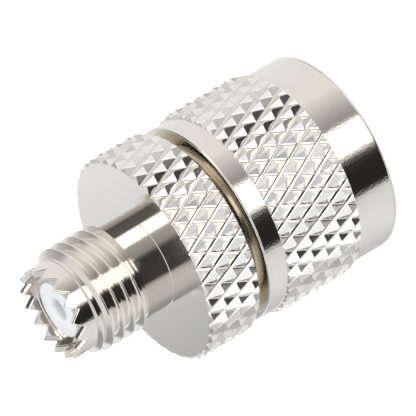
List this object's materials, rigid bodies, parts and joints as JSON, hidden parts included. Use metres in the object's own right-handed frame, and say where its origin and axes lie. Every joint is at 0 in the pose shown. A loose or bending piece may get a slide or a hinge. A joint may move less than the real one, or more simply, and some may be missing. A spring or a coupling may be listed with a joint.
{
  "type": "coax adapter",
  "caption": "Straight coax adapter: a diamond-knurled screw plug on one end and a small threaded jack with a serrated mouth on the other.",
  "frame": {"origin": "centre of the coupling nut's open rim, on the plane that the part stands on", "axes": "+Z along the common axis, from the plug's open rim to the jack's serrated mouth; +X through one locating tooth"},
  "size_m": [0.0188, 0.0188, 0.0291],
  "materials": {
    "nickel_plate": "polished",
    "spring_bronze": "satin",
    "fluoropolymer": "satin",
    "contact_plate": "gloss"
  },
  "bodies": {
    "adapter": {"adapter_body": "nickel_plate", "jack_insulator": "fluoropolymer", "plug_insulator": "fluoropolymer", "jack_contact": "contact_plate", "centre_pin": "contact_plate"},
    "ring": {"retaining_ring": "spring_bronze"},
    "nut": {"coupling_nut": "nickel_plate"}
  },
  "joints": [
    {"name": "nut_slide", "type": "slide", "parent": "adapter", "child": "ring", "axis": [0, 0, -1], "range_m": [0, 0.001]},
    {"name": "nut_spin", "type": "hinge", "parent": "ring", "child": "nut", "pos_m": [0, 0, 0.01142], "axis": [0, 0, 1], "continuous": true}
  ]
}
